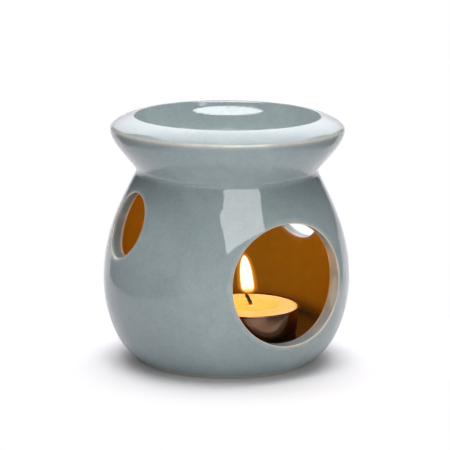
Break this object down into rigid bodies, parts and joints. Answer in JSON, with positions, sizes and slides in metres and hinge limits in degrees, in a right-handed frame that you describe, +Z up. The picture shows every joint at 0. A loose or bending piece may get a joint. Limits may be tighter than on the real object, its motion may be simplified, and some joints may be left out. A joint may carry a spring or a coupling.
{
  "type": "wax warmer",
  "caption": "Round-bellied glazed ceramic wax warmer: a shallow melting dish on a flared collar over a chamber with a round front opening, side vents and a lift-out tealight.",
  "frame": {"origin": "on the plane that the foot ring stands on, at the axis of the round pot", "axes": "+Z up along the pot's axis, -Y out through the middle of the front opening, +X to the right as seen from in front of it"},
  "size_m": [0.097, 0.0942, 0.0968],
  "materials": {
    "glaze": "glossy grey-green glaze",
    "cup_aluminium": "thin pressed sheet, bare",
    "wax": "translucent wax",
    "wick_cotton": "charred cotton",
    "tinplate": "tinned sheet"
  },
  "bodies": {
    "warmer": {"pot": "glaze", "wax_dish": "glaze"},
    "tealight": {"tealight_cup": "cup_aluminium", "tealight_wax": "wax", "tealight_wick": "wick_cotton", "wick_sustainer": "tinplate"}
  },
  "joints": [
    {"name": "tealight_lift", "type": "slide", "parent": "warmer", "child": "tealight", "axis": [0, -0.8572, 0.515], "range_m": [0, 0.064]}
  ]
}
